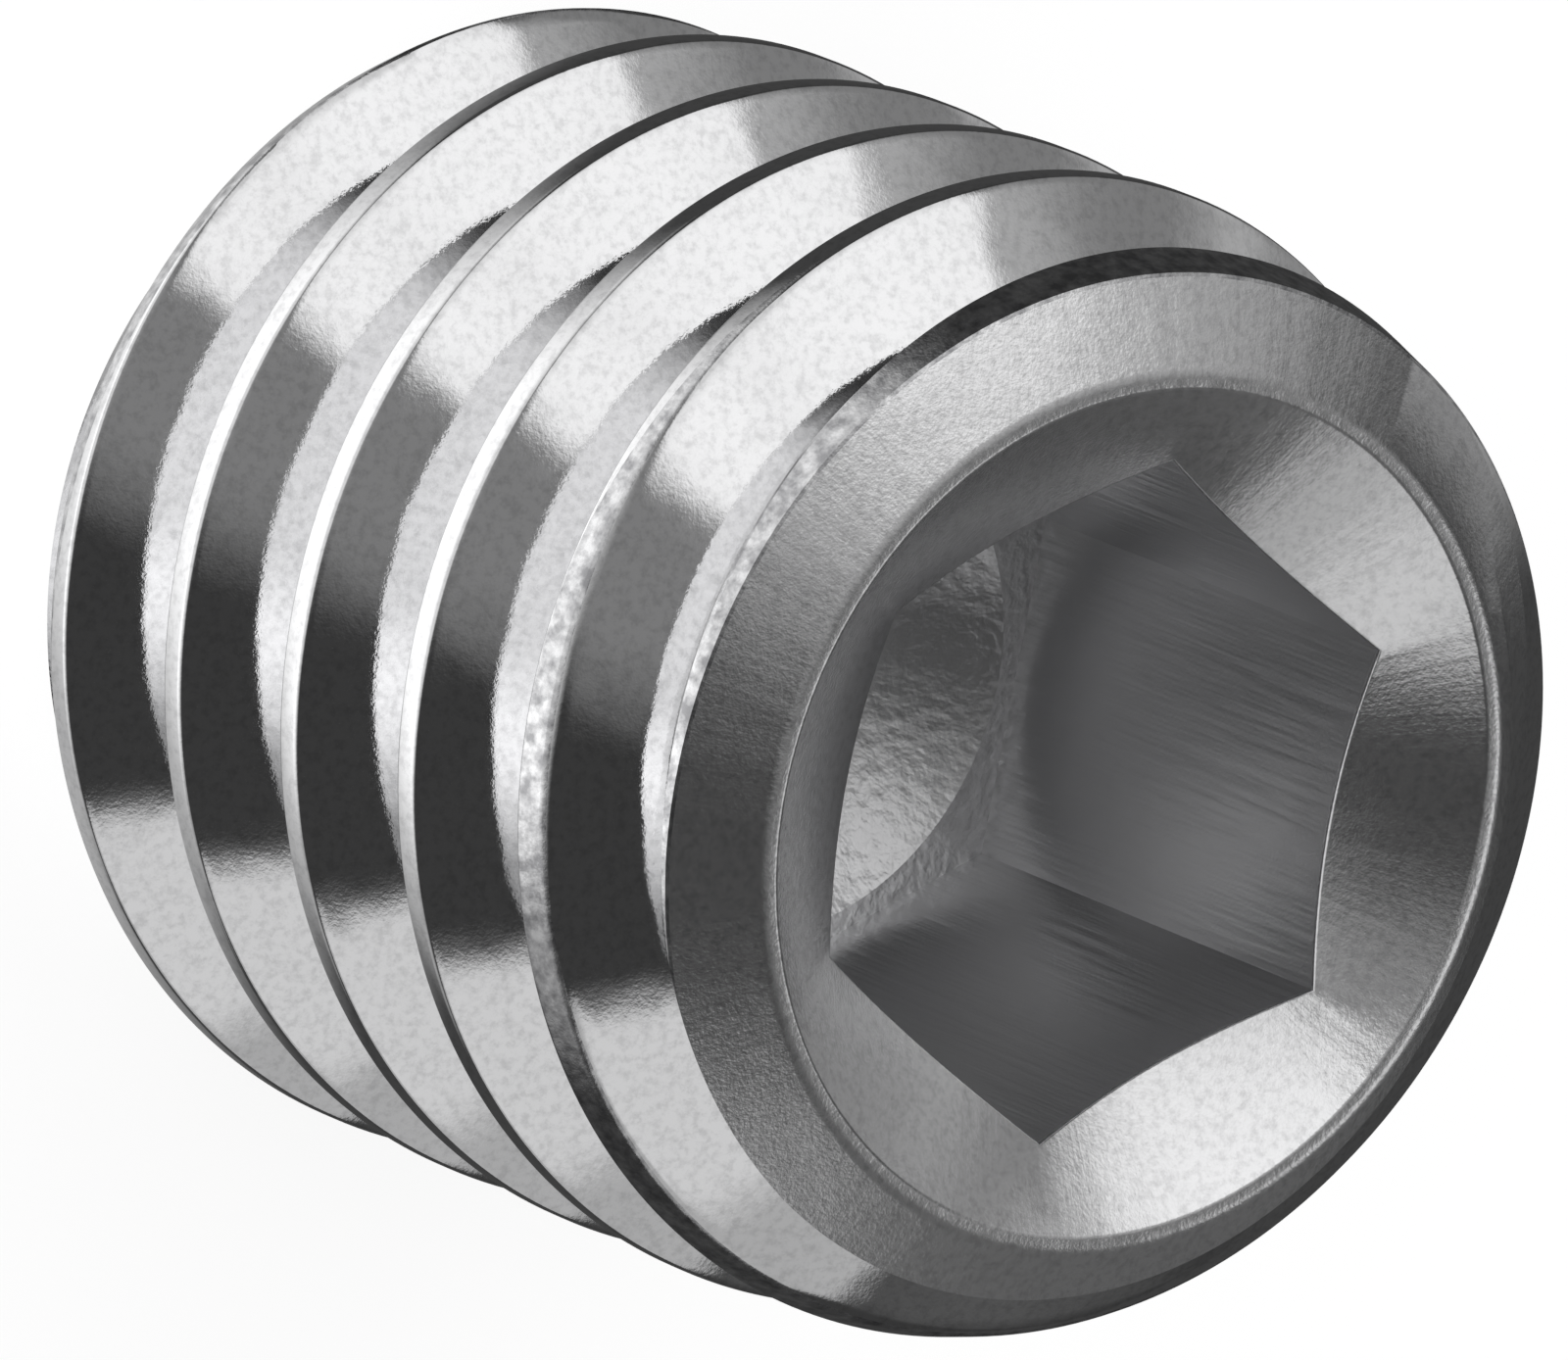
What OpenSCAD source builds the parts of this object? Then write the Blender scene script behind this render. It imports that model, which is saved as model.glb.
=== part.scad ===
// Hexagon socket set screw with a flat point: a fully threaded metric screw without a head.
// It stands on its point, with the socket facing up. The origin is the centre of the point's face.

/* [Thread] */
// Major diameter, across the thread crests
thread_d = 4; // [3.7:0.05:4.6]
// Distance along the axis from one crest to the next
thread_pitch = 0.7; // [0.5:0.05:0.8]
// Angle between the two flanks of a groove
flank_angle = 60; // [55:1:65]
// Width of the flat on top of each crest
crest_flat = 0.09; // [0.04:0.01:0.12]
// Radius of the rounded bottom of the groove
root_r = 0.1; // [0.05:0.01:0.12]
// Angle round the axis, from a socket corner, at which a groove's bottom is level with the point's face
thread_phase = 152; // [0:1:359]

/* [Body] */
// Length over all, from the point's face to the socket end
body_l = 4.1; // [3.2:0.1:6]
// Diameter of the flat face at the point
point_d = 3.2; // [2.4:0.05:3.5]
// Angle of the point's chamfer, measured from the point's face
point_chamfer = 45; // [30:1:55]
// Diameter across the shortened crests, where the point's chamfer meets them
point_lead_d = 3.7; // [3.6:0.05:3.95]
// Distance from the point's face to where its shortened crests end and the full thread begins
point_lead_l = 0.65; // [0.6:0.05:1]
// Outer diameter of the ring face at the socket end
ring_d = 3.02; // [2.96:0.01:3.5]
// Angle of the socket end's chamfer, measured from the ring face
ring_chamfer = 20; // [12:1:50]
// Diameter across the shortened crests, where the socket end's chamfer meets them
ring_lead_d = 3.66; // [3.6:0.02:3.94]
// Distance from the ring face to where its shortened crests end and the full thread begins
ring_lead_l = 0.95; // [0.7:0.05:1.5]

/* [Socket] */
// Distance across the flats of the hexagon socket
socket_af = 2.04; // [1.5:0.01:2.2]
// Depth of the hexagon's flats below the ring face
socket_depth = 2.1; // [1:0.1:2.4]
// Diameter of the countersink at the ring face
sink_d = 2.92; // [2.65:0.01:3]
// Included angle of the countersink
sink_angle = 120; // [90:1:130]
// Diameter of the pilot hole's drill point below the hexagon
pilot_d = 1.9; // [1.2:0.05:2]
// Included angle of the pilot hole's drill point
pilot_angle = 120; // [110:1:140]

/* [Hidden] */

// Facets to a turn of the thread
turn_steps = 72;
// Straight stretches that make up the rounded root
root_steps = 4;
// Fineness of the true circles
fine = 96;
// How far a cut runs past what it cuts
cut_over = 0.5;
// Room left between the full crests and the cones that shorten the others
crest_room = 0.05;
// Sides of the hexagon
hex_sides = 6;
// Turns of the threaded rod below the point, and in all those that go past both ends
turns_below = 2;
turns_spare = 3;

half_flank = flank_angle / 2;
groove_half = (thread_pitch - crest_flat) / 2;
thread_depth = groove_half / tan(half_flank) - root_r * (1 / sin(half_flank) - 1);
root_mid = thread_d / 2 - thread_depth + root_r;
socket_corner_d = socket_af / cos(180 / hex_sides);

// One groove of the thread from crest to crest, as [height, radius] pairs
groove = concat(
    [[crest_flat / 2 - thread_pitch / 2, thread_d / 2]],
    [for (i = [0:root_steps])
        let (a = (90 - half_flank) * (2 * i / root_steps - 1))
        [root_r * sin(a), root_mid - root_r * cos(a)]],
    [[thread_pitch / 2 - crest_flat / 2, thread_d / 2]]);

// The thread is a stack of columns, one for each angle, that climbs one pitch in a turn.
column = len(groove);
turns = ceil(body_l / thread_pitch) + turns_spare;
rows = column * turns;
start_z = -turns_below * thread_pitch;

function row_height(i, v) = start_z + thread_pitch * (i / turn_steps + floor(v / column)) + groove[v % column][0];

function row_radius(v) = groove[v % column][1];

function thread_points() = concat(
    [for (i = [0:turn_steps - 1], v = [0:rows - 1])
        let (a = 360 * i / turn_steps)
        [row_radius(v) * cos(a), row_radius(v) * sin(a), row_height(i, v)]],
    [[0, 0, start_z], [0, 0, start_z + thread_pitch * (turns + 1)]]);

// Place in the list of the point in column i and row v. Past the last column it is the first one, a turn higher.
function at(i, v) = i < turn_steps ? i * rows + v : v + column;

function thread_faces() = let (low = turn_steps * rows, high = low + 1) concat(
    [for (i = [0:turn_steps - 1], v = [0:rows - 2])
        if (i < turn_steps - 1 || v + 1 + column < rows)
        each [[at(i, v), at(i, v + 1), at(i + 1, v)], [at(i, v + 1), at(i + 1, v + 1), at(i + 1, v)]]],
    [for (i = [0:turn_steps - 1]) [low, at(i, 0), at(i + 1, 0)]],
    [for (v = [0:column - 1]) [low, at(0, v + 1), at(0, v)]],
    [for (i = [0:turn_steps - 2]) [high, at(i + 1, rows - 1), at(i, rows - 1)]],
    [[high, rows - 1, at(turn_steps - 1, rows - column - 1)]],
    [for (v = [rows - column:rows - 1]) [high, at(turn_steps - 1, v - 1), at(turn_steps - 1, v)]]);

module thread_rod() {
    rotate([0, 0, thread_phase])
        polyhedron(thread_points(), thread_faces(), convexity = turns);
}

// Room inside the two end faces, their chamfers and the cones that shorten the crests next to them
module between_ends() {
    reach = thread_d / 2 + crest_room;
    point_rise = (point_lead_d - point_d) / 2 * tan(point_chamfer);
    ring_drop = (ring_lead_d - ring_d) / 2 * tan(ring_chamfer);
    rotate_extrude($fn = fine)
        polygon([
            [0, 0], [point_d / 2, 0], [point_lead_d / 2, point_rise], [reach, point_lead_l],
            [reach, body_l - ring_lead_l], [ring_lead_d / 2, body_l - ring_drop], [ring_d / 2, body_l], [0, body_l]]);
}

// Socket: hexagon, countersunk mouth and the drill point left by the pilot hole
module socket() {
    floor_z = body_l - socket_depth;
    pilot_h = pilot_d / 2 / tan(pilot_angle / 2);
    mouth_h = sink_d / 2 / tan(sink_angle / 2);
    translate([0, 0, floor_z])
        cylinder(d = socket_corner_d, h = socket_depth + cut_over, $fn = hex_sides);
    translate([0, 0, floor_z - pilot_h])
        cylinder(d1 = 0, d2 = pilot_d, h = pilot_h, $fn = fine);
    translate([0, 0, body_l - mouth_h])
        cylinder(r1 = 0, r2 = (mouth_h + cut_over) * tan(sink_angle / 2), h = mouth_h + cut_over, $fn = fine);
}

module screw() {
    color("silver")
        difference() {
            intersection() {
                thread_rod();
                between_ends();
            }
            socket();
        }
}

screw();
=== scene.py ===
"""Studio picture of a hexagon socket set screw that stands on its flat point.

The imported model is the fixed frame. One piece is made here, the screw again at the same size and place, as one
smooth mesh: its thread has a finer pitch of facets, and the edges of its crests, end faces and socket are rounded
as rolling and tumbling leave them. Lengths in the classes are in millimetres, and meshes are in metres.
"""

import logging
import math
from dataclasses import dataclass, field
from enum import Enum
from typing import Any, Callable

import bpy
from mathutils import Matrix, Vector


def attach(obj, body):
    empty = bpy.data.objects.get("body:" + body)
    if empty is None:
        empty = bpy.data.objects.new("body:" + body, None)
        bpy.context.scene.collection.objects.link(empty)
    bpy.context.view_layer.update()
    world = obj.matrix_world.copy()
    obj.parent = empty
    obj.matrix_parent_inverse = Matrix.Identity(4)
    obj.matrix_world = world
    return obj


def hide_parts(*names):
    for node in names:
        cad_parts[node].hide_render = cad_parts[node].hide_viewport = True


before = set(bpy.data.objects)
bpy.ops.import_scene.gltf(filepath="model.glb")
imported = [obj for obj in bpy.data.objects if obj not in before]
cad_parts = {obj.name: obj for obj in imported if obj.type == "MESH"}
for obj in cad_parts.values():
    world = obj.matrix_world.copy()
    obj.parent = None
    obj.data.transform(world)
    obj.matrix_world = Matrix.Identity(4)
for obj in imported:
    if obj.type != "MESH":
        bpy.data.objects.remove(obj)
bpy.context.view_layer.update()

MM = 0.001
NODE = "screw"
BODY = "root"

# Points closer together than the first are one point, and edges shorter than the second are leftovers of a cut.
WELD = 1e-4 * MM
SCRAP = 5e-4 * MM

Point = tuple[float, float]
Cone = tuple[float, float, float, float]
log = logging.getLogger("set_screw")


def linear(hex_colour: str) -> tuple[float, float, float, float]:
    """Turns an sRGB colour into Blender's linear one.

    Args:
        hex_colour: The colour as it is seen, such as "#c8c8ca".

    Returns:
        Red, green, blue and an alpha of 1.
    """
    channels = [int(hex_colour[i:i + 2], 16) / 255 for i in (1, 3, 5)]
    r, g, b = [c / 12.92 if c <= 0.04045 else ((c + 0.055) / 1.055) ** 2.4 for c in channels]
    return r, g, b, 1.0


def add_node(tree: bpy.types.NodeTree, kind: str, *values: Any, named: dict[str | int, Any] | None = None,
             **settings: Any) -> bpy.types.Node:
    """Adds a node, sets it up, and links or fills its inputs.

    Args:
        tree: The tree that gets the node.
        kind: Blender's name for the kind of node.
        *values: What goes into the inputs in their order: a node for its first output, an output, a constant, or
            None to leave the input alone.
        named: What goes into inputs by their names, or by their places where names repeat.
        **settings: The node's own settings, made before its inputs are filled.

    Returns:
        The new node.
    """
    node = tree.nodes.new(kind)
    for setting, value in settings.items():
        setattr(node, setting, value)
    for key, value in [*enumerate(values), *(named or {}).items()]:
        if isinstance(value, bpy.types.Node):
            value = value.outputs[0]
        if isinstance(value, bpy.types.NodeSocket):
            tree.links.new(value, node.inputs[key])
        elif value is not None:
            node.inputs[key].default_value = value
    return node


def between(tree: bpy.types.NodeTree, share: Any, low: Any, high: Any) -> bpy.types.Node:
    """Goes from one value to another as a share goes from 0 to 1."""
    return add_node(tree, "ShaderNodeMapRange", share, 0.0, 1.0, low, high)


def mixed(tree: bpy.types.NodeTree, share: Any, first: Any, second: Any) -> bpy.types.NodeSocket:
    """Goes from one colour to another as a share goes from 0 to 1."""
    # by place, because the node's inputs for numbers and for colours have the same names
    return add_node(tree, "ShaderNodeMix", named={0: share, 6: first, 7: second}, data_type="RGBA").outputs[2]


def bumped(tree: bpy.types.NodeTree, strength: Any, height: float, level: Any, under: Any = None) -> bpy.types.Node:
    """Adds a bump to a surface.

    Args:
        tree: The material's tree.
        strength: How much of the bump shows, from 0 to 1.
        height: Height of the bump, in millimetres, where the level is 1.
        level: The bump's level.
        under: The bump that it goes on, or None.

    Returns:
        The bump.
    """
    return add_node(tree, "ShaderNodeBump", named={
        "Strength": strength, "Distance": height * MM, "Height": level, "Normal": under})


def new_object(name: str, points: list[tuple[float, float, float]], faces: list[tuple[int, ...]],
               edges: list[tuple[int, int]] | None = None) -> bpy.types.Object:
    """Makes a mesh object at the origin.

    Args:
        name: Name of the object and of its mesh.
        points: Places of its points, in millimetres.
        faces: Faces, as places in the list of points.
        edges: Loose edges, for an outline without faces.

    Returns:
        The object, linked to the scene.
    """
    mesh = bpy.data.meshes.new(name)
    mesh.from_pydata([Vector(p) * MM for p in points], edges or [], faces)
    mesh.update()
    made = bpy.data.objects.new(name, mesh)
    bpy.context.scene.collection.objects.link(made)
    return made


def arc(centre: Point, radius: float, start: float, end: float, steps: int) -> list[Point]:
    """Gives points along an arc in the plane of radius and height.

    Args:
        centre: Middle of the arc.
        radius: Its radius.
        start: Angle of its first point, in degrees from the outward direction.
        end: Angle of its last point.
        steps: Number of straight stretches.

    Returns:
        The points, both ends included.
    """
    angles = [math.radians(start + (end - start) * i / steps) for i in range(steps + 1)]
    return [(centre[0] + radius * math.cos(a), centre[1] + radius * math.sin(a)) for a in angles]


def rounded(before: Point, corner: Point, after: Point, radius: float, steps: int) -> list[Point]:
    """Rounds a corner of an outline.

    Args:
        before: A point of the outline ahead of the corner.
        corner: The sharp corner.
        after: A point of the outline behind it.
        radius: Radius of the rounding.
        steps: Number of straight stretches that make it up.

    Returns:
        The points of the rounding, from the first straight stretch to the second.
    """
    back = (Vector(before) - Vector(corner)).normalized()
    ahead = (Vector(after) - Vector(corner)).normalized()
    half = back.angle(ahead) / 2
    centre = Vector(corner) + (back + ahead).normalized() * (radius / math.sin(half))
    first = Vector(corner) + back * (radius / math.tan(half)) - centre
    last = Vector(corner) + ahead * (radius / math.tan(half)) - centre
    start = math.degrees(math.atan2(first.y, first.x))
    turn = -math.degrees(first.angle_signed(last))
    return arc((centre.x, centre.y), radius, start, start + turn, steps)


def revolved(name: str, outline_at: Callable[[float], list[Point]], columns: int) -> bpy.types.Object:
    """Makes a closed solid round the Z axis from its outline at each angle.

    Args:
        name: Name of the object.
        outline_at: Gives, for an angle in degrees, the outline as radius and height, from the axis to the axis. It
            has as many points at every angle, and only its two ends are on the axis.
        columns: Number of angles.

    Returns:
        The object, with its faces outwards where the outline climbs.
    """
    outlines = [outline_at(360 * i / columns) for i in range(columns)]
    last = len(outlines[0]) - 1
    points: list[tuple[float, float, float]] = [(0, 0, outlines[0][0][1]), (0, 0, outlines[0][last][1])]
    for i, outline in enumerate(outlines):
        a = 2 * math.pi * i / columns
        points += [(r * math.cos(a), r * math.sin(a), z) for r, z in outline[1:last]]

    def place(column: int, row: int) -> int:
        """Gives where a point is in the list of points."""
        if row in (0, last):
            return min(row, 1)
        return 2 + column % columns * (last - 1) + row - 1

    faces: list[tuple[int, ...]] = []
    for i in range(columns):
        for row in range(last):
            ring = [place(i, row), place(i + 1, row), place(i + 1, row + 1), place(i, row + 1)]
            faces.append(tuple(dict.fromkeys(ring)))
    return new_object(name, points, faces)


@dataclass
class Thread:
    """The rolled thread: one groove that climbs round the screw over its whole length.

    Attributes:
        major_d: Diameter across the crests.
        pitch: Distance along the axis from one crest to the next.
        flank_angle: Angle between the two flanks of the groove, in degrees.
        crest_flat: Width of the flat on top of a crest.
        crest_edge_r: Radius of the crest's two edges.
        crest_edge_steps: Straight stretches that make up each of them.
        root_r: Radius of the bottom of the groove.
        root_steps: Straight stretches that make it up.
        phase: Angle, in degrees from a socket corner, at which the groove's bottom meets the plane of the point.
        flank_rows: Where rows of points cross a flank, as shares of its width.
        columns: Facets to a turn.
        turns_below: Turns of the rod that carries the thread below the point, before it is cut to length.
        turns_spare: Turns of that rod past both ends of the screw together.
        run_out: How far the rod goes past both ends of the screw, once it is cut to length.
        blend: Width over which a full crest turns into a shortened one.
    """

    major_d: float = 4.0
    pitch: float = 0.7
    flank_angle: float = 60.0
    crest_flat: float = 0.09
    crest_edge_r: float = 0.02
    crest_edge_steps: int = 4
    root_r: float = 0.1
    root_steps: int = 8
    phase: float = 152.0
    flank_rows: tuple[float, ...] = (0.05, 0.12, 0.2, 0.29, 0.4, 0.6, 0.94)
    columns: int = 240
    turns_below: int = 2
    turns_spare: int = 3
    run_out: float = 0.3
    blend: float = 0.04

    def groove(self) -> list[Point]:
        """Gives one groove from crest to crest, as radius and height from the groove's middle."""
        half = math.radians(self.flank_angle / 2)
        turn = 90 - self.flank_angle / 2
        half_width = (self.pitch - self.crest_flat) / 2
        depth = half_width / math.tan(half) - self.root_r * (1 / math.sin(half) - 1)
        root_middle = (self.major_d / 2 - depth + self.root_r, 0.0)
        edge_setback = self.crest_edge_r * math.tan(math.radians(turn / 2))
        edge_middle = (self.major_d / 2 - self.crest_edge_r, -half_width - edge_setback)
        edge = arc(edge_middle, self.crest_edge_r, 0, turn, self.crest_edge_steps)
        root = arc(root_middle, self.root_r, 180 + turn, 180 - turn, self.root_steps)
        flank = [tuple(Vector(edge[-1]).lerp(Vector(root[0]), share)) for share in self.flank_rows]
        lower_side = edge + flank
        return lower_side + root + [(r, -z) for r, z in reversed(lower_side)]

    def tree(self) -> bpy.types.NodeTree:
        """Builds the Geometry Nodes tree that winds the groove up and cuts the screw out of the threaded rod.

        Returns:
            The tree. Its inputs are the groove's outline, the two cutters, the finish and the sizes.
        """
        tree = bpy.data.node_groups.new("rolled_thread", "GeometryNodeTree")
        for name, kind in ThreadInput.kinds():
            tree.interface.new_socket(name, in_out="INPUT", socket_type=kind)
        tree.interface.new_socket("Screw", in_out="OUTPUT", socket_type="NodeSocketGeometry")
        given = tree.nodes.new("NodeGroupInput").outputs
        outline = add_node(tree, "GeometryNodeObjectInfo", named={"Object": given[ThreadInput.GROOVE.value]})
        outline_geometry = outline.outputs["Geometry"]
        column_rows = add_node(tree, "GeometryNodeAttributeDomainSize", outline_geometry, component="MESH")
        rows = add_node(tree, "ShaderNodeMath", column_rows, given[ThreadInput.TURNS.value], operation="MULTIPLY")
        columns = add_node(tree, "ShaderNodeMath", given[ThreadInput.COLUMNS.value], 1.0, operation="ADD")
        sheet = add_node(tree, "GeometryNodeMeshGrid", 1.0, 1.0, columns, rows)
        place = add_node(tree, "GeometryNodeInputPosition")
        across = add_node(tree, "ShaderNodeSeparateXYZ", place)
        # share of a turn along the sheet's width, and the number of the row along its height
        share = add_node(tree, "ShaderNodeMath", across.outputs[0], 0.5, operation="ADD")
        height = add_node(tree, "ShaderNodeMath", across.outputs[1], 0.5, operation="ADD")
        last_row = add_node(tree, "ShaderNodeMath", rows, 1.0, operation="SUBTRACT")
        row_place = add_node(tree, "ShaderNodeMath", height, last_row, operation="MULTIPLY")
        row = add_node(tree, "ShaderNodeMath", row_place, operation="ROUND")
        row_middle = add_node(tree, "ShaderNodeMath", row, 0.5, operation="ADD")
        turn_place = add_node(tree, "ShaderNodeMath", row_middle, column_rows, operation="DIVIDE")
        turn = add_node(tree, "ShaderNodeMath", turn_place, operation="FLOOR")
        first_row = add_node(tree, "ShaderNodeMath", turn, column_rows, operation="MULTIPLY")
        outline_row = add_node(tree, "ShaderNodeMath", row, first_row, operation="SUBTRACT")
        outline_point = add_node(tree, "GeometryNodeSampleIndex", outline_geometry,
                                 named={"Value": place, "Index": outline_row}, data_type="FLOAT_VECTOR")
        outline_xyz = add_node(tree, "ShaderNodeSeparateXYZ", outline_point)
        # the sheet is wound round the axis and climbs one pitch in a turn
        wound = add_node(tree, "ShaderNodeMath", share, 2 * math.pi, operation="MULTIPLY")
        angle = add_node(tree, "ShaderNodeMath", wound, given[ThreadInput.PHASE.value], operation="ADD")
        turns_up = add_node(tree, "ShaderNodeMath", share, turn, operation="ADD")
        turns_from_point = add_node(tree, "ShaderNodeMath", turns_up, self.turns_below, operation="SUBTRACT")
        climb = add_node(tree, "ShaderNodeMath", turns_from_point, given[ThreadInput.PITCH.value],
                         operation="MULTIPLY")
        z = add_node(tree, "ShaderNodeMath", climb, outline_xyz.outputs[2], operation="ADD")
        low, high = given[ThreadInput.LOWEST.value], given[ThreadInput.HIGHEST.value]
        z_held = add_node(tree, "ShaderNodeClamp", z, low, high)
        # the crests near both ends are shortened by a cone, and their new edges are rounded
        radius: Any = outline_xyz.outputs[0]
        for lead in ThreadInput.leads():
            cone = add_node(tree, "ShaderNodeMapRange", z_held, *[given[limit.value] for limit in lead],
                            clamp=False)
            radius = add_node(tree, "ShaderNodeMath", radius, cone, self.blend * MM, operation="SMOOTH_MIN")
        cosine = add_node(tree, "ShaderNodeMath", angle, operation="COSINE")
        sine = add_node(tree, "ShaderNodeMath", angle, operation="SINE")
        x = add_node(tree, "ShaderNodeMath", radius, cosine, operation="MULTIPLY")
        y = add_node(tree, "ShaderNodeMath", radius, sine, operation="MULTIPLY")
        spot = add_node(tree, "ShaderNodeCombineXYZ", x, y, z_held)
        wall = add_node(tree, "GeometryNodeSetPosition", sheet, named={"Position": spot})
        # what was held flat at both ends goes, and a fan to the axis closes each end
        own_z = add_node(tree, "ShaderNodeSeparateXYZ", place).outputs[2]
        near_low = add_node(tree, "ShaderNodeMath", low, WELD, operation="ADD")
        near_high = add_node(tree, "ShaderNodeMath", high, WELD, operation="SUBTRACT")
        below = add_node(tree, "ShaderNodeMath", own_z, near_low, operation="LESS_THAN")
        above = add_node(tree, "ShaderNodeMath", own_z, near_high, operation="GREATER_THAN")
        flat = add_node(tree, "ShaderNodeMath", below, above, operation="MAXIMUM")
        tube = add_node(tree, "GeometryNodeDeleteGeometry", wall, flat, domain="FACE")
        seamless = add_node(tree, "GeometryNodeMergeByDistance", tube, named={"Distance": WELD})
        # an edge of the tube's rims has one face beside it, and the others have two
        faces_beside = add_node(tree, "GeometryNodeInputMeshEdgeNeighbors")
        rim = add_node(tree, "ShaderNodeMath", faces_beside, 1.5, operation="LESS_THAN")
        fan = add_node(tree, "GeometryNodeExtrudeMesh", seamless, rim, named={"Offset Scale": 0.0}, mode="EDGES")
        axis_spot = add_node(tree, "ShaderNodeCombineXYZ", 0.0, 0.0, own_z)
        drawn_in = add_node(tree, "GeometryNodeSetPosition", fan, fan.outputs["Top"], axis_spot)
        rod = add_node(tree, "GeometryNodeMergeByDistance", drawn_in, named={"Distance": WELD})
        ends = add_node(tree, "GeometryNodeObjectInfo", named={"Object": given[ThreadInput.ENDS.value]})
        socket = add_node(tree, "GeometryNodeObjectInfo", named={"Object": given[ThreadInput.SOCKET.value]})
        cut_rod = add_node(tree, "GeometryNodeMeshBoolean", operation="INTERSECT", solver="EXACT")
        for part in (rod.outputs[0], ends.outputs["Geometry"]):
            tree.links.new(part, cut_rod.inputs["Mesh 2"])
        screw = add_node(tree, "GeometryNodeMeshBoolean", cut_rod,
                         named={"Mesh 2": socket.outputs["Geometry"]}, operation="DIFFERENCE", solver="EXACT")
        # tiny leftovers of the cuts go, and edges that turn sharply stay crisp
        clean = add_node(tree, "GeometryNodeMergeByDistance", screw, named={"Distance": SCRAP})
        smooth = add_node(tree, "GeometryNodeSetShadeSmooth", clean, named={"Shade Smooth": True}, domain="FACE")
        edge_turn = add_node(tree, "GeometryNodeInputMeshEdgeAngle")
        sharp = add_node(tree, "ShaderNodeMath", edge_turn, given[ThreadInput.CREASE.value],
                         operation="GREATER_THAN")
        creased = add_node(tree, "GeometryNodeSetShadeSmooth", smooth, sharp, False, domain="EDGE")
        real = add_node(tree, "GeometryNodeRealizeInstances", creased)
        dressed = add_node(tree, "GeometryNodeSetMaterial", real,
                           named={"Material": given[ThreadInput.FINISH.value]})
        add_node(tree, "NodeGroupOutput", dressed)
        return tree


class ThreadInput(Enum):
    """Names of the inputs of the thread's tree."""

    GROOVE = "Groove outline"
    ENDS = "Room between the ends"
    SOCKET = "Socket cutter"
    FINISH = "Finish"
    PITCH = "Pitch"
    PHASE = "Phase"
    LOWEST = "Lowest point"
    HIGHEST = "Highest point"
    POINT_LEAD_LOW = "Point lead starts at"
    POINT_LEAD_HIGH = "Point lead ends at"
    POINT_LEAD_NARROW = "Point lead radius at its start"
    POINT_LEAD_WIDE = "Point lead radius at its end"
    RING_LEAD_LOW = "Ring lead starts at"
    RING_LEAD_HIGH = "Ring lead ends at"
    RING_LEAD_WIDE = "Ring lead radius at its start"
    RING_LEAD_NARROW = "Ring lead radius at its end"
    CREASE = "Crease angle"
    TURNS = "Turns"
    COLUMNS = "Columns"

    @classmethod
    def kinds(cls) -> list[tuple[str, str]]:
        """Gives each input's name with its kind of socket."""
        objects = dict.fromkeys((cls.GROOVE, cls.ENDS, cls.SOCKET), "NodeSocketObject")
        counts = dict.fromkeys((cls.TURNS, cls.COLUMNS), "NodeSocketInt")
        special = objects | counts | {cls.FINISH: "NodeSocketMaterial"}
        return [(one.value, special.get(one, "NodeSocketFloat")) for one in cls]

    @classmethod
    def leads(cls) -> list[list["ThreadInput"]]:
        """Gives, for the lead at each end, its two heights and its radius at each of them."""
        return [[cls.POINT_LEAD_LOW, cls.POINT_LEAD_HIGH, cls.POINT_LEAD_NARROW, cls.POINT_LEAD_WIDE],
                [cls.RING_LEAD_LOW, cls.RING_LEAD_HIGH, cls.RING_LEAD_WIDE, cls.RING_LEAD_NARROW]]


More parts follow.
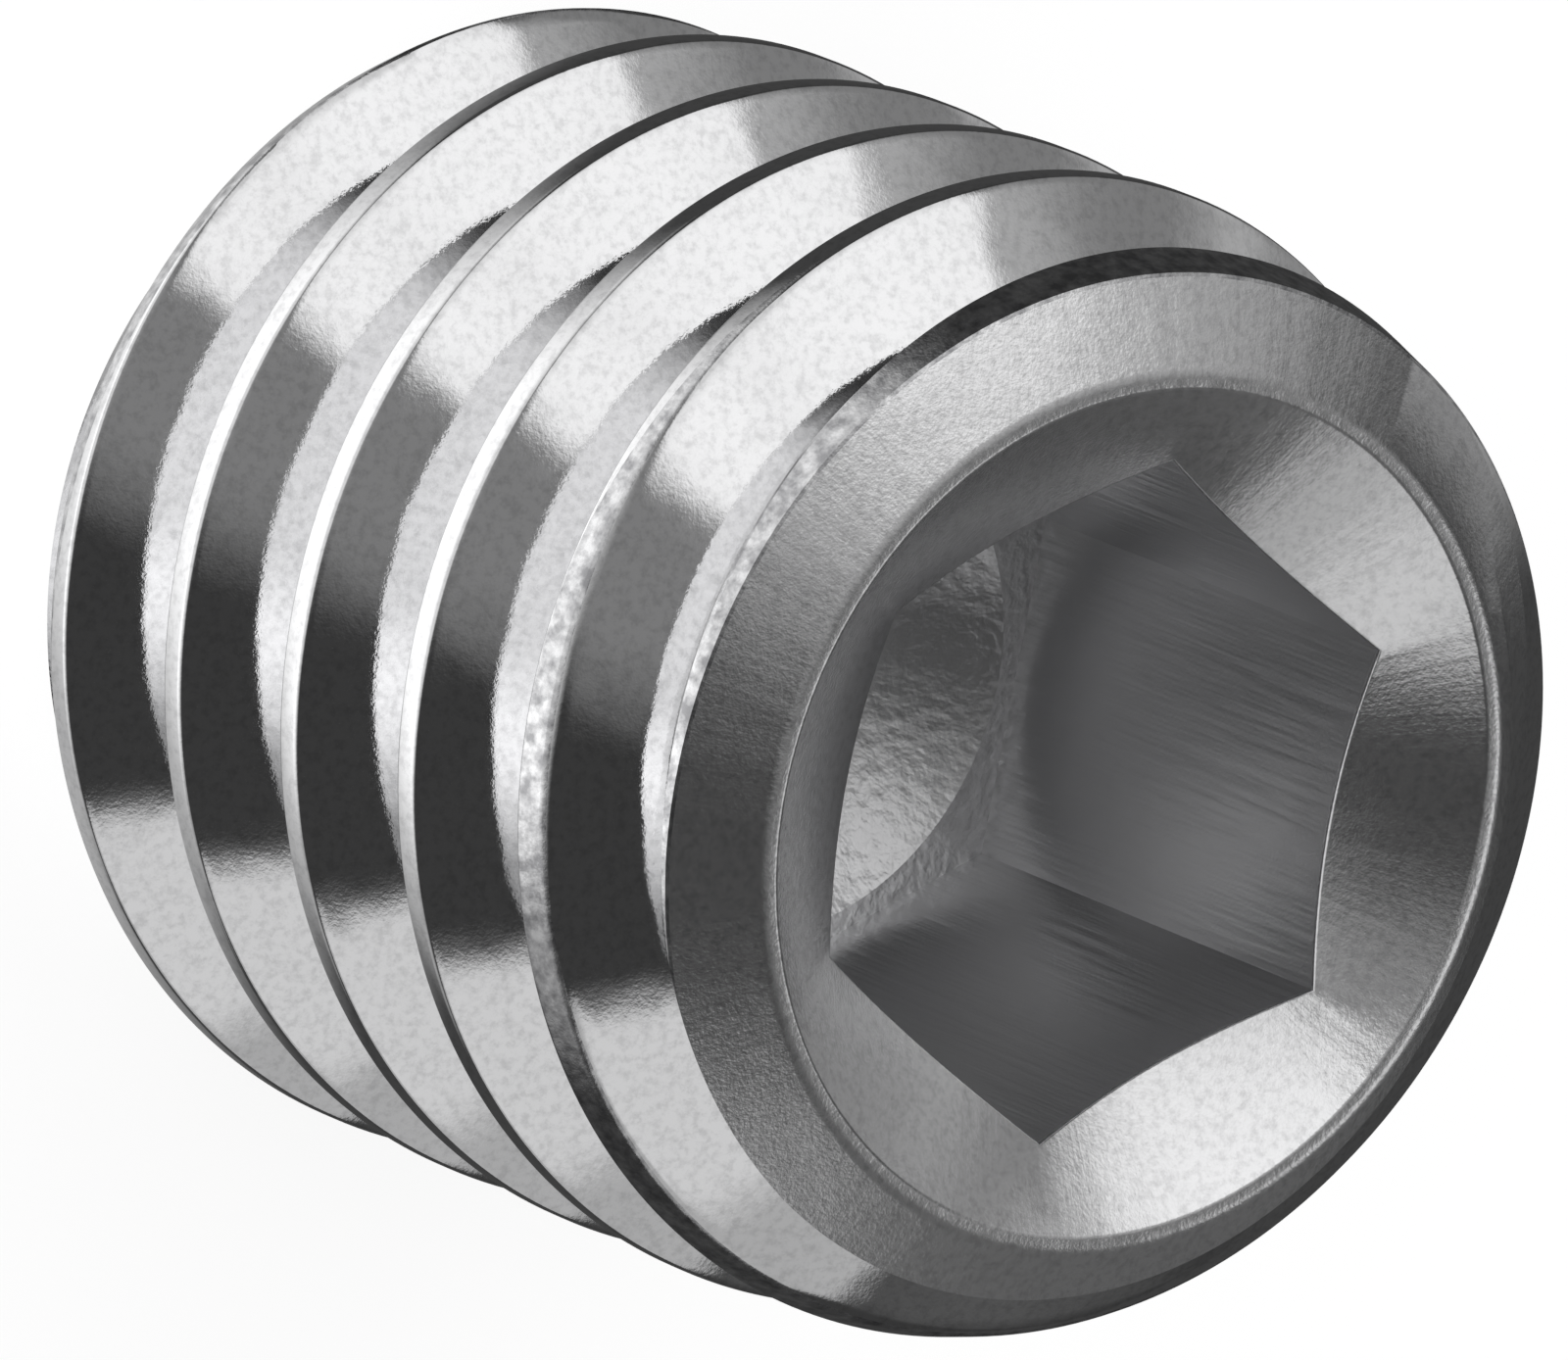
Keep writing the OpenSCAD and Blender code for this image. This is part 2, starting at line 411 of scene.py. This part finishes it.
@dataclass
class Ends:
    """The point and the socket end: two flat faces with chamfers that run out into the thread.

    Attributes:
        length: Length of the screw over all.
        point_d: Diameter of the point's flat face.
        point_chamfer: Angle of the point's chamfer, in degrees from its face.
        point_lead_d: Diameter across the shortened crests, where the point's chamfer meets them.
        point_lead_l: Distance from the point's face to where its shortened crests end.
        ring_d: Outer diameter of the ring face round the socket.
        ring_chamfer: Angle of the socket end's chamfer, in degrees from the ring face.
        ring_lead_d: Diameter across the shortened crests, where the socket end's chamfer meets them.
        ring_lead_l: Distance from the ring face to where its shortened crests end.
        crest_room: Room left round the full crests where the shortened ones end.
        point_edge_r: Radius of the edge between the point's face and its chamfer.
        ring_edge_r: Radius of the edge between the ring face and its chamfer.
        edge_steps: Straight stretches that make up each of these edges.
        over: How far the chamfers run out past the crests.
    """

    length: float = 4.1
    point_d: float = 3.2
    point_chamfer: float = 45.0
    point_lead_d: float = 3.7
    point_lead_l: float = 0.65
    ring_d: float = 3.02
    ring_chamfer: float = 20.0
    ring_lead_d: float = 3.66
    ring_lead_l: float = 0.95
    crest_room: float = 0.05
    point_edge_r: float = 0.04
    ring_edge_r: float = 0.12
    edge_steps: int = 6
    over: float = 0.25

    def point_rise(self, radius: float) -> float:
        """Gives how far the point's chamfer is above the point's face at a radius."""
        return (radius - self.point_d / 2) * math.tan(math.radians(self.point_chamfer))

    def ring_drop(self, radius: float) -> float:
        """Gives how far the socket end's chamfer is below the ring face at a radius."""
        return (radius - self.ring_d / 2) * math.tan(math.radians(self.ring_chamfer))

    def cones(self, full_r: float) -> list[Cone]:
        """Gives the cones that shorten the crests, at the point and at the socket end.

        Args:
            full_r: Radius of the cones where they leave the full crests.

        Returns:
            For each cone its two heights, the lower one first, and its radius at each of them.
        """
        point_r, ring_r = self.point_lead_d / 2, self.ring_lead_d / 2
        return [(self.point_rise(point_r), self.point_lead_l, point_r, full_r),
                (self.length - self.ring_lead_l, self.length - self.ring_drop(ring_r), full_r, ring_r)]

    def outline(self, reach: float) -> list[Point]:
        """Gives the outline of the room between the ends.

        Args:
            reach: Radius that the chamfers run out to.

        Returns:
            Radius and height from the point's middle to the socket end's.
        """
        low = (reach, self.point_rise(reach))
        high = (reach, self.length - self.ring_drop(reach))
        point_edge = (self.point_d / 2, 0.0)
        ring_edge = (self.ring_d / 2, self.length)
        foot, top = (0.0, 0.0), (0.0, self.length)
        return [
            foot, *rounded(foot, point_edge, low, self.point_edge_r, self.edge_steps), low,
            high, *rounded(high, ring_edge, top, self.ring_edge_r, self.edge_steps), top]

    def cutter(self, reach: float, columns: int) -> bpy.types.Object:
        """Makes the room between the ends, as a solid."""
        outline = self.outline(reach)
        return revolved("between_ends", lambda angle: outline, columns)


@dataclass
class Socket:
    """The broached hexagon with its countersunk mouth and the drill point of the pilot hole.

    Attributes:
        sides: Number of its flats.
        across_flats: Width of the hexagon across its flats.
        depth: Depth of the flats below the ring face.
        sink_d: Diameter of the countersink at the ring face.
        sink_angle: Included angle of the countersink, in degrees.
        pilot_d: Diameter of the pilot hole.
        pilot_angle: Included angle of its drill point, in degrees.
        rim_r: Radius of the edge between the ring face and the countersink.
        rim_steps: Straight stretches that make it up.
        mouth_r: Radius of the edge between the countersink and the hexagon.
        mouth_steps: Straight stretches that make it up.
        over: How far the cutter reaches above the screw.
        columns: Facets to a turn, a multiple of six so that the hexagon's corners fall between two of them.
    """

    sides: int = 6
    across_flats: float = 2.04
    depth: float = 2.1
    sink_d: float = 2.92
    sink_angle: float = 120.0
    pilot_d: float = 1.9
    pilot_angle: float = 120.0
    rim_r: float = 0.035
    rim_steps: int = 6
    mouth_r: float = 0.015
    mouth_steps: int = 3
    over: float = 0.5
    columns: int = 180

    def hexagon_radius(self, angle: float) -> float:
        """Gives the distance of the hexagon's wall from the axis at an angle in degrees."""
        step = 360 / self.sides
        return self.across_flats / 2 / math.cos(math.radians(angle % step - step / 2))

    def outline(self, angle: float, top: float) -> list[Point]:
        """Gives the cutter's outline at one angle.

        Args:
            angle: The angle from a corner of the hexagon, in degrees.
            top: Height of the ring face.

        Returns:
            Radius and height from the drill point up to the axis above the screw.
        """
        sink_r, pilot_r = self.sink_d / 2, self.pilot_d / 2
        slope = math.tan(math.radians(self.sink_angle / 2))
        wall_r = self.hexagon_radius(angle)
        floor_z = top - self.depth
        mouth = (wall_r, top - (sink_r - wall_r) / slope)
        rim = (sink_r, top)
        rim_edge = rounded(mouth, rim, (sink_r + self.over, top), self.rim_r, self.rim_steps)
        return [
            (0.0, floor_z - pilot_r / math.tan(math.radians(self.pilot_angle / 2))),
            (pilot_r, floor_z), (wall_r, floor_z),
            *rounded((wall_r, floor_z), mouth, rim, self.mouth_r, self.mouth_steps), *rim_edge,
            (rim_edge[-1][0], top + self.over), (0.0, top + self.over)]

    def cutter(self, top: float) -> bpy.types.Object:
        """Makes the cutter of the socket, as a solid that ends above the screw."""
        return revolved("socket", lambda angle: self.outline(angle, top), self.columns)


@dataclass(frozen=True)
class Noise:
    """A pattern of soft spots that breaks a surface up.

    Attributes:
        size: Size of a spot, in millimetres unless its coordinates have another unit.
        detail: Number of finer layers in it.
        roughness: Share of its strength that each finer layer keeps.
    """

    size: float
    detail: float
    roughness: float = 0.5

    def level(self, tree: bpy.types.NodeTree, place: Any, unit: float = MM) -> bpy.types.NodeSocket:
        """Adds the noise to a material.

        Args:
            tree: The material's tree.
            place: The coordinates that it is laid out on.
            unit: The unit of its size, in those coordinates.

        Returns:
            Its level, from about 0 to 1.
        """
        return add_node(tree, "ShaderNodeTexNoise", place, named={
            "Scale": 1 / (self.size * unit), "Detail": self.detail, "Roughness": self.roughness}).outputs[0]


@dataclass(frozen=True)
class Areas:
    """The parts of the surface that have a finish of their own, as nodes that give 1 there and 0 elsewhere.

    Attributes:
        broached: The inside of the socket.
        end: The ring face, its chamfer and the countersink.
        raw_and_painted_dark: The shortened crests, which are rougher and get a dark reflection painted into their
            colour.
    """

    broached: Any
    end: Any
    raw_and_painted_dark: Any


@dataclass(frozen=True)
class BrightSteel:
    """Bright zinc-plated steel, tumbled after rolling: mirror-like with a fine grain.

    The plating gives sharp light and dark bands, and the grain breaks them up into a fine sparkle. The shortened
    crests near both ends have the blank's own rougher surface, which rolling hasn't reached, and a dark reflection
    is painted into their colour in mottled spots. Inside the socket the broach has left it duller, with faint marks
    along the axis. Depths are strengths of bumps, from 0 to 1, and heights are in millimetres.

    Attributes:
        colour: Colour of its reflections.
        roughness: Spread of the reflections on the rolled thread.
        grain: The tumbling grain.
        grain_height: Height of the grain.
        grain_depth: Depth of the grain on the rolled thread.
        spots: The small dull spots of the plating.
        spot_levels: Levels of their noise between which the surface turns dull.
        spot_colour: Colour of the reflections in them.
        waves: The shallow waves that rolling leaves in the flanks.
        wave_height: Height of the waves.
        end_roughness: Spread of the reflections on the socket end.
        end_depth: Depth of the grain on the socket end.
        cuts: The radial marks on the socket end, left where the wire was cut off. Their size is in radians.
        cut_run: How much the radial marks change over a millimetre outwards, also in radians.
        cut_height: Height of the radial marks.
        cut_depth: Depth of the radial marks.
        raw_and_painted_dark: The spots of painted dark reflection on the shortened crests.
        painted_dark_levels: Levels of their noise between which the painted dark reflection fades out.
        painted_dark_reflection_colour: Colour painted in them as a dark reflection.
        raw_roughness: Spread of the reflections on the shortened crests.
        raw_depth: Depth of the grain there.
        marks: The broach marks, as wide as the size of their noise.
        mark_length: How much longer than wide a broach mark is.
        mark_height: Height of the broach marks.
        mark_depth: Depth of the broach marks.
        broached_colour: Colour of the reflections inside the socket.
        broached_roughness: Spread of the reflections inside the socket.
        broached_reach: Radius within which a surface counts as inside the socket, against its corners' radius.
        margin: How far into the metal the limits of the areas lie, in millimetres.
    """

    colour: str = "#eeeeef"
    roughness: float = 0.05
    grain: Noise = Noise(0.014, 2.0, 0.6)
    grain_height: float = 0.0028
    grain_depth: float = 0.07
    spots: Noise = Noise(0.035, 3.0, 0.65)
    spot_levels: tuple[float, float] = (0.4, 0.75)
    spot_colour: str = "#d8d8d9"
    waves: Noise = Noise(0.3, 1.0)
    wave_height: float = 0.003
    end_roughness: float = 0.22
    end_depth: float = 0.28
    cuts: Noise = Noise(math.tau / 90, 4.0, 0.6)
    cut_run: float = 0.04
    cut_height: float = 0.014
    cut_depth: float = 0.12
    raw_and_painted_dark: Noise = Noise(0.06, 3.0, 0.6)
    painted_dark_levels: tuple[float, float] = (0.35, 0.65)
    painted_dark_reflection_colour: str = "#a2a2a4"
    raw_roughness: float = 0.2
    raw_depth: float = 0.3
    marks: Noise = Noise(0.05, 2.0)
    mark_length: float = 14.0
    mark_height: float = 0.01
    mark_depth: float = 0.5
    broached_colour: str = "#e0e0e1"
    broached_roughness: float = 0.32
    broached_reach: float = 1.02
    margin: float = 0.012

    def areas(self, tree: bpy.types.NodeTree, radius: Any, z: Any, socket: Socket, ends: Ends,
              cones: list[Cone]) -> Areas:
        """Finds the areas of the surface.

        Args:
            tree: The material's tree.
            radius: Distance from the axis.
            z: Height above the point's face.
            socket: The socket, whose countersink tells where the broached walls begin.
            ends: The ends, whose chamfer tells where the rolled thread ends.
            cones: The cones that shorten the crests.

        Returns:
            The areas.
        """
        # the countersink's cone, a little lowered, parts the broached walls from the rest
        slope = 1 / math.tan(math.radians(socket.sink_angle / 2))
        cone_foot = (ends.length - socket.sink_d / 2 * slope - self.margin) * MM
        sink_cone = add_node(tree, "ShaderNodeMath", radius, slope, cone_foot, operation="MULTIPLY_ADD")
        below_sink = add_node(tree, "ShaderNodeMath", z, sink_cone, operation="LESS_THAN")
        reach = socket.hexagon_radius(0) * self.broached_reach * MM
        inside = add_node(tree, "ShaderNodeMath", radius, reach, operation="LESS_THAN")
        broached = add_node(tree, "ShaderNodeMath", below_sink, inside, operation="MULTIPLY")
        # the chamfer's outer edge parts the socket end from the thread
        edge_z = ends.length - ends.ring_drop(ends.ring_lead_d / 2) - self.margin
        above_edge = add_node(tree, "ShaderNodeMath", z, edge_z * MM, operation="GREATER_THAN")
        within_sink = add_node(tree, "ShaderNodeMath", radius, socket.sink_d / 2 * MM, operation="LESS_THAN")
        end = add_node(tree, "ShaderNodeMath", above_edge, within_sink, operation="MAXIMUM")
        # the shortened crests, which get a rougher finish and a painted dark reflection in their colour
        raw_and_painted_dark: Any = 0.0
        for low, high, low_r, high_r in cones:
            cone_r = add_node(tree, "ShaderNodeMapRange", z, low * MM, high * MM, (low_r - self.margin) * MM,
                              (high_r - self.margin) * MM, clamp=False)
            on_cone = add_node(tree, "ShaderNodeMath", radius, cone_r, operation="GREATER_THAN")
            raw_and_painted_dark = add_node(tree, "ShaderNodeMath", raw_and_painted_dark, on_cone, operation="MAXIMUM")
        return Areas(broached, end, raw_and_painted_dark)

    def shade(self, tree: bpy.types.NodeTree, place: Any, areas: Areas) -> bpy.types.NodeSocket:
        """Gives the colour of the reflections, with a dark reflection painted in mottled spots on the shortened
        crests.
        """
        dull = add_node(tree, "ShaderNodeMapRange", self.spots.level(tree, place), *self.spot_levels, 0.0, 1.0,
                        interpolation_type="SMOOTHSTEP")
        plated = mixed(tree, dull, linear(self.colour), linear(self.spot_colour))
        # painted dark reflection: the colour of the shortened crests is darkened in mottled spots
        dark = add_node(tree, "ShaderNodeMapRange", self.raw_and_painted_dark.level(tree, place), *self.painted_dark_levels, 1.0, 0.0)
        painted_dark_reflection = add_node(tree, "ShaderNodeMath", areas.raw_and_painted_dark, dark, operation="MULTIPLY")
        outside = mixed(tree, painted_dark_reflection, plated, linear(self.painted_dark_reflection_colour))
        return mixed(tree, areas.broached, outside, linear(self.broached_colour))

    def relief(self, tree: bpy.types.NodeTree, place: Any, flat_place: Any, radius: Any, areas: Areas) -> Any:
        """Gives the direction of the surface: waves, then the grain, the radial marks and the broach marks on them.

        Args:
            tree: The material's tree.
            place: Coordinates on the screw.
            flat_place: The same at height 0.
            radius: Distance from the axis.
            areas: The areas that have a finish of their own.

        Returns:
            The topmost bump.
        """
        wave_bump = bumped(tree, 1.0, self.wave_height, self.waves.level(tree, place))
        thread_depth = between(tree, areas.raw_and_painted_dark, self.grain_depth, self.raw_depth)
        grain_depth = between(tree, areas.end, thread_depth, self.end_depth)
        grain_bump = bumped(tree, grain_depth, self.grain_height, self.grain.level(tree, place), wave_bump)
        # the radial marks' noise changes with the direction from the axis and hardly along it
        direction = add_node(tree, "ShaderNodeVectorMath", flat_place, operation="NORMALIZE")
        way_out = add_node(tree, "ShaderNodeMath", radius, self.cut_run / MM, operation="MULTIPLY")
        way = add_node(tree, "ShaderNodeCombineXYZ", None, None, way_out)
        cut_place = add_node(tree, "ShaderNodeVectorMath", direction, way, operation="ADD")
        cut_depth = add_node(tree, "ShaderNodeMath", areas.end, self.cut_depth, operation="MULTIPLY")
        cut_bump = bumped(tree, cut_depth, self.cut_height, self.cuts.level(tree, cut_place, 1.0), grain_bump)
        # the broach marks' noise is drawn out along the axis
        long_place = add_node(tree, "ShaderNodeVectorMath", place, (1.0, 1.0, 1 / self.mark_length),
                              operation="MULTIPLY")
        mark_depth = add_node(tree, "ShaderNodeMath", areas.broached, self.mark_depth, operation="MULTIPLY")
        return bumped(tree, mark_depth, self.mark_height, self.marks.level(tree, long_place), cut_bump)

    def material(self, socket: Socket, ends: Ends, cones: list[Cone]) -> bpy.types.Material:
        """Builds the material.

        Args:
            socket: The socket that it goes on.
            ends: The ends that it goes on.
            cones: The cones that shorten the crests.

        Returns:
            The material, laid out on the screw's own coordinates.
        """
        made = bpy.data.materials.new("bright_zinc_plated_steel")
        made.use_nodes = True
        tree = made.node_tree
        tree.nodes.clear()
        place = add_node(tree, "ShaderNodeTexCoord").outputs["Object"]
        z = add_node(tree, "ShaderNodeSeparateXYZ", place).outputs[2]
        flat_place = add_node(tree, "ShaderNodeVectorMath", place, (1.0, 1.0, 0.0), operation="MULTIPLY")
        radius = add_node(tree, "ShaderNodeVectorMath", flat_place, operation="LENGTH").outputs["Value"]
        areas = self.areas(tree, radius, z, socket, ends, cones)
        thread_roughness = between(tree, areas.raw_and_painted_dark, self.roughness, self.raw_roughness)
        outer_roughness = between(tree, areas.end, thread_roughness, self.end_roughness)
        steel = add_node(tree, "ShaderNodeBsdfPrincipled", named={
            "Base Color": self.shade(tree, place, areas), "Metallic": 1.0,
            "Roughness": between(tree, areas.broached, outer_roughness, self.broached_roughness),
            "Normal": self.relief(tree, place, flat_place, radius, areas)})
        add_node(tree, "ShaderNodeOutputMaterial", steel)
        return made


@dataclass
class SetScrew:
    """The whole screw, one piece of steel.

    Attributes:
        thread: Its thread.
        ends: Its point and its socket end.
        socket: Its socket.
        finish: Its finish.
        crease: Angle, in degrees, past which an edge stays crisp.
    """

    thread: Thread = field(default_factory=Thread)
    ends: Ends = field(default_factory=Ends)
    socket: Socket = field(default_factory=Socket)
    finish: BrightSteel = field(default_factory=BrightSteel)
    crease: float = 25.0

    def build(self) -> bpy.types.Object:
        """Makes the screw's mesh.

        Returns:
            The screw, as a plain mesh object with its finish.
        """
        thread, ends, length = self.thread, self.ends, self.ends.length
        cones = ends.cones(thread.major_d / 2 + ends.crest_room)
        groove = thread.groove()
        outline = new_object("groove", [(r, 0.0, z) for r, z in groove], [],
                             [(i, i + 1) for i in range(len(groove) - 1)])
        room = ends.cutter(thread.major_d / 2 + ends.over, thread.columns)
        socket = self.socket.cutter(length)
        values = {
            ThreadInput.GROOVE: outline, ThreadInput.ENDS: room, ThreadInput.SOCKET: socket,
            ThreadInput.FINISH: self.finish.material(self.socket, ends, cones), ThreadInput.PITCH: thread.pitch * MM,
            ThreadInput.PHASE: math.radians(thread.phase), ThreadInput.LOWEST: -thread.run_out * MM,
            ThreadInput.HIGHEST: (length + thread.run_out) * MM, ThreadInput.CREASE: math.radians(self.crease),
            ThreadInput.TURNS: math.ceil(length / thread.pitch) + thread.turns_spare,
            ThreadInput.COLUMNS: thread.columns}
        for names, cone in zip(ThreadInput.leads(), cones):
            values.update({name: side * MM for name, side in zip(names, cone)})
        draft = new_object("draft", [], [])
        tree = thread.tree()
        nodes = draft.modifiers.new("thread", "NODES")
        nodes.node_group = tree
        sockets = {item.name: item.identifier for item in tree.interface.items_tree if item.in_out == "INPUT"}
        for name, value in values.items():
            nodes[sockets[name.value]] = value
        # large flat faces keep their own direction, and the roundings beside them do the turning
        draft.modifiers.new("flat_faces", "WEIGHTED_NORMAL").keep_sharp = True
        graph = bpy.context.evaluated_depsgraph_get()
        mesh = bpy.data.meshes.new_from_object(draft.evaluated_get(graph))
        mesh.name = "set_screw"
        screw = bpy.data.objects.new("set_screw", mesh)
        bpy.context.scene.collection.objects.link(screw)
        for helper in (draft, outline, room, socket):
            bpy.data.objects.remove(helper)
        return screw


@dataclass(frozen=True)
class SoftBox:
    """A soft light or a white card far away, seen as a disc of light with a soft edge.

    Attributes:
        azimuth: Angle of its middle round the screw, in degrees from +X.
        elevation: Angle of its middle above the floor, in degrees.
        reach: Angle from its middle to the middle of its soft edge, in degrees.
        soft: Width of the soft edge, in degrees.
        strength: Brightness, where 1 is white.
    """

    azimuth: float
    elevation: float
    reach: float
    soft: float
    strength: float

    def direction(self) -> Vector:
        """Gives the direction from the screw to the light."""
        a, e = math.radians(self.azimuth), math.radians(self.elevation)
        return Vector((math.cos(a) * math.cos(e), math.sin(a) * math.cos(e), math.sin(e)))


@dataclass
class Studio:
    """The floor, the light and the camera.

    Attributes:
        azimuth: Angle of the camera round the screw, in degrees from +X.
        elevation: Angle of the camera above the floor, in degrees.
        roll: Turn of the camera about its own line of sight, in degrees.
        distance: Distance of the camera from the point that it aims at.
        aim: Point that the camera is set out from.
        offset: Shift of the camera to the right and up from there.
        lens: Focal length of the camera for a picture 36 mm wide.
        near: Distance from the camera, in metres, at which it begins to see.
        floor_r: Radius of the floor.
        paper_glow: Share of the floor's white that the camera sees without any light on it.
        paper_tone: How much of the light the floor gives back.
        fill: Brightness of the studio away from the lights.
        boxes: The soft lights and white cards round the screw.
    """

    azimuth: float = -104.1194
    elevation: float = 51.8262
    roll: float = 112.1238
    distance: float = 99.7308
    aim: tuple[float, float, float] = (0.0, 0.0, 2.1)
    offset: Point = (-0.0272, -0.0166)
    lens: float = 675.0
    near: float = 0.01
    floor_r: float = 400.0
    paper_glow: float = 0.85
    paper_tone: float = 0.45
    fill: float = 0.055
    boxes: tuple[SoftBox, ...] = (
        SoftBox(173.0, 49.0, 24.0, 5.0, 0.84),
        SoftBox(140.0, 60.0, 25.0, 21.0, 0.42),
        SoftBox(-5.0, 33.0, 26.0, 3.0, 0.5),
        SoftBox(-10.0, 45.0, 14.0, 8.0, 0.3),
        SoftBox(130.0, 23.0, 18.0, 8.0, 0.22),
        SoftBox(109.0, 7.0, 14.0, 12.0, 0.28),
        SoftBox(-109.0, 3.0, 46.0, 30.0, 0.92),
        SoftBox(-60.0, -5.0, 25.0, 20.0, 0.35),
        SoftBox(-95.0, -60.0, 40.0, 30.0, 0.42),
        SoftBox(56.0, 36.0, 28.0, 16.0, 0.09),
        SoftBox(76.0, 38.0, 8.0, 5.0, 0.95),
        SoftBox(-138.0, 67.0, 15.0, 14.0, 0.22),
    )

    def camera(self) -> None:
        """Places the camera at the photograph's angle."""
        data = bpy.data.cameras.new("camera")
        data.lens = self.lens
        data.clip_start = self.near
        camera = bpy.data.objects.new("camera", data)
        bpy.context.scene.collection.objects.link(camera)
        turn = (Matrix.Rotation(math.radians(self.azimuth + 90), 4, "Z")
                @ Matrix.Rotation(math.radians(90 - self.elevation), 4, "X")
                @ Matrix.Rotation(math.radians(self.roll), 4, "Z"))
        place = Vector(self.aim) + turn.to_3x3() @ Vector((*self.offset, self.distance))
        camera.matrix_world = Matrix.Translation(place * MM) @ turn
        bpy.context.scene.camera = camera

    def surroundings(self) -> bpy.types.NodeTree:
        """Builds the brightness of the studio for a direction from the screw, as its metal mirrors it."""
        tree = bpy.data.node_groups.new("surroundings", "ShaderNodeTree")
        tree.interface.new_socket("Direction", in_out="INPUT", socket_type="NodeSocketVector")
        tree.interface.new_socket("Level", in_out="OUTPUT", socket_type="NodeSocketFloat")
        towards = tree.nodes.new("NodeGroupInput").outputs["Direction"]
        level: Any = self.fill
        for box in self.boxes:
            facing = add_node(tree, "ShaderNodeVectorMath", towards, box.direction(), operation="DOT_PRODUCT")
            edges = [math.cos(math.radians(max(0, min(180, box.reach + side * box.soft / 2)))) for side in (1, -1)]
            glow = add_node(tree, "ShaderNodeMapRange", facing.outputs["Value"], *edges, 0.0, box.strength,
                            interpolation_type="SMOOTHSTEP")
            level = add_node(tree, "ShaderNodeMath", level, glow, operation="ADD")
        add_node(tree, "NodeGroupOutput", level)
        return tree

    def world(self, surroundings: bpy.types.NodeTree) -> None:
        """Lights the scene with the surroundings and gives the camera a white background."""
        world = bpy.data.worlds.new("studio")
        bpy.context.scene.world = world
        world.use_nodes = True
        tree = world.node_tree
        tree.nodes.clear()
        towards = add_node(tree, "ShaderNodeTexCoord").outputs["Generated"]
        level = add_node(tree, "ShaderNodeGroup", node_tree=surroundings)
        tree.links.new(towards, level.inputs["Direction"])
        ray = add_node(tree, "ShaderNodeLightPath").outputs
        direct = add_node(tree, "ShaderNodeMath", ray["Is Camera Ray"], ray["Is Transmission Ray"],
                          operation="MAXIMUM")
        white = add_node(tree, "ShaderNodeMath", direct, level, operation="MAXIMUM")
        light = add_node(tree, "ShaderNodeBackground", None, white)
        add_node(tree, "ShaderNodeOutputWorld", light)

    def floor(self, surroundings: bpy.types.NodeTree) -> bpy.types.Object:
        """Makes the white paper that the screw stands on.

        The camera sees it white with a soft shadow, and metal sees the surroundings in it, so that they go on below
        the horizon.
        """
        r = self.floor_r
        made = new_object("floor", [(-r, -r, 0), (r, -r, 0), (r, r, 0), (-r, r, 0)], [(0, 1, 2, 3)])
        paper = bpy.data.materials.new("white_paper")
        paper.use_nodes = True
        tree = paper.node_tree
        tree.nodes.clear()
        place = add_node(tree, "ShaderNodeTexCoord").outputs["Object"]
        middle = tuple(side * MM for side in self.aim)
        from_screw = add_node(tree, "ShaderNodeVectorMath", place, middle, operation="SUBTRACT")
        towards = add_node(tree, "ShaderNodeVectorMath", from_screw, operation="NORMALIZE")
        mirrored = add_node(tree, "ShaderNodeGroup", node_tree=surroundings)
        tree.links.new(towards.outputs[0], mirrored.inputs["Direction"])
        ray = add_node(tree, "ShaderNodeLightPath").outputs
        in_metal = add_node(tree, "ShaderNodeMath", mirrored, ray["Is Glossy Ray"], operation="MULTIPLY")
        direct = add_node(tree, "ShaderNodeMath", ray["Is Camera Ray"], ray["Is Transmission Ray"],
                          operation="MAXIMUM")
        glow = add_node(tree, "ShaderNodeMath", direct, self.paper_glow, in_metal, operation="MULTIPLY_ADD")
        shown = add_node(tree, "ShaderNodeEmission", (1.0, 1.0, 1.0, 1.0), glow)
        not_metal = add_node(tree, "ShaderNodeMath", 1.0, ray["Is Glossy Ray"], operation="SUBTRACT")
        tone = add_node(tree, "ShaderNodeMath", not_metal, self.paper_tone, operation="MULTIPLY")
        lit = add_node(tree, "ShaderNodeBsdfDiffuse", tone)
        both = add_node(tree, "ShaderNodeAddShader", lit, shown)
        add_node(tree, "ShaderNodeOutputMaterial", both)
        made.data.materials.append(paper)
        return made

    def build(self) -> None:
        """Sets the studio up."""
        bpy.context.scene.view_settings.view_transform = "Standard"
        self.camera()
        surroundings = self.surroundings()
        self.world(surroundings)
        self.floor(surroundings)


def main() -> None:
    """Builds the studio and the screw."""
    logging.basicConfig(level=logging.INFO, format="%(name)s: %(message)s")
    Studio().build()
    log.info("studio: floor, light and camera are up")
    screw = SetScrew().build()
    log.info("screw: %d faces", len(screw.data.polygons))
    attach(screw, BODY)
    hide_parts(NODE)


if __name__ == "__main__":
    main()
